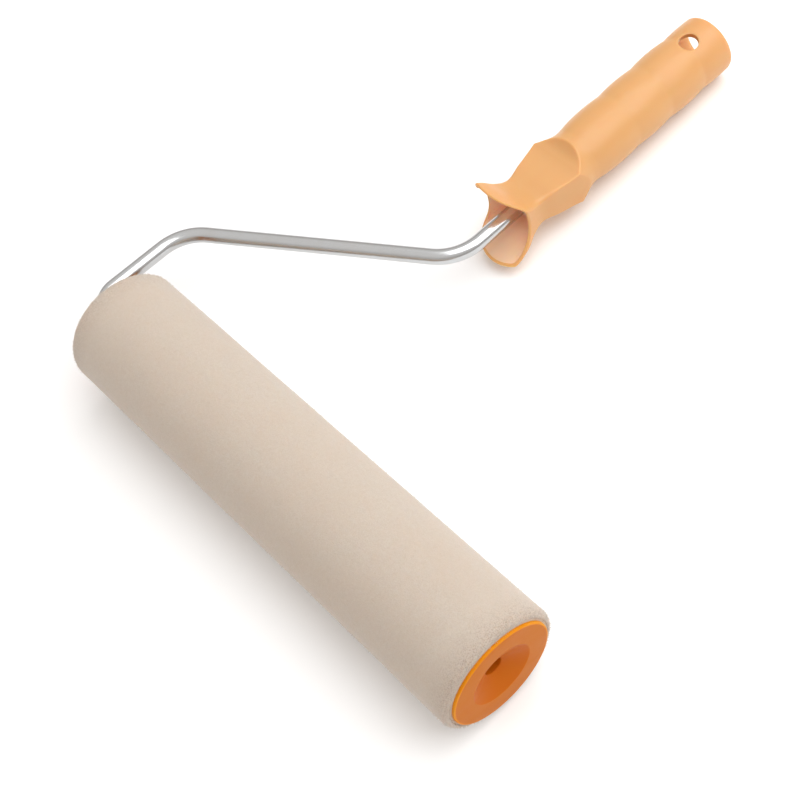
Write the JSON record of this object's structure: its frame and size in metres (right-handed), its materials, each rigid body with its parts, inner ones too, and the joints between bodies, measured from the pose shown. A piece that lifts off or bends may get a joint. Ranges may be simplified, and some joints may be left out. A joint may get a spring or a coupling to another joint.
{
  "type": "paint roller",
  "caption": "Hand paint roller: bent steel rod frame, moulded grip with drip guard and pole socket, and a push-on pile sleeve that turns on the rod.",
  "frame": {"origin": "centre of the sleeve's length on the roller's axis", "axes": "+X along the roller's axis towards the open end cap, +Y towards the handle's end, +Z square to the plane of the bent rod"},
  "size_m": [0.2661, 0.3118, 0.056],
  "materials": {
    "grip_plastic": "satin",
    "cap_plastic": "satin",
    "rod_steel": "satin",
    "collar_steel": "satin",
    "natural_plastic": "satin",
    "core_plastic": "matte",
    "backing_fabric": "matte",
    "pile_fabric": "matte"
  },
  "bodies": {
    "frame": {"handle_grip": "grip_plastic", "frame_rod": "rod_steel", "stop_collar": "collar_steel", "thrust_washer": "natural_plastic"},
    "bush": {"snap_bush": "natural_plastic"},
    "roller": {"core_tube": "core_plastic", "fabric_backing": "backing_fabric", "pile_cover": "pile_fabric", "inboard_cap": "cap_plastic", "outboard_cap": "cap_plastic", "bush_retainer": "natural_plastic"}
  },
  "joints": [
    {"name": "sleeve_pull_off", "type": "slide", "parent": "frame", "child": "bush", "axis": [1, 0, 0], "range_m": [0, 0.235]},
    {"name": "roller_spin", "type": "hinge", "parent": "bush", "child": "roller", "pos_m": [0, 0, 0], "axis": [1, 0, 0], "continuous": true}
  ]
}
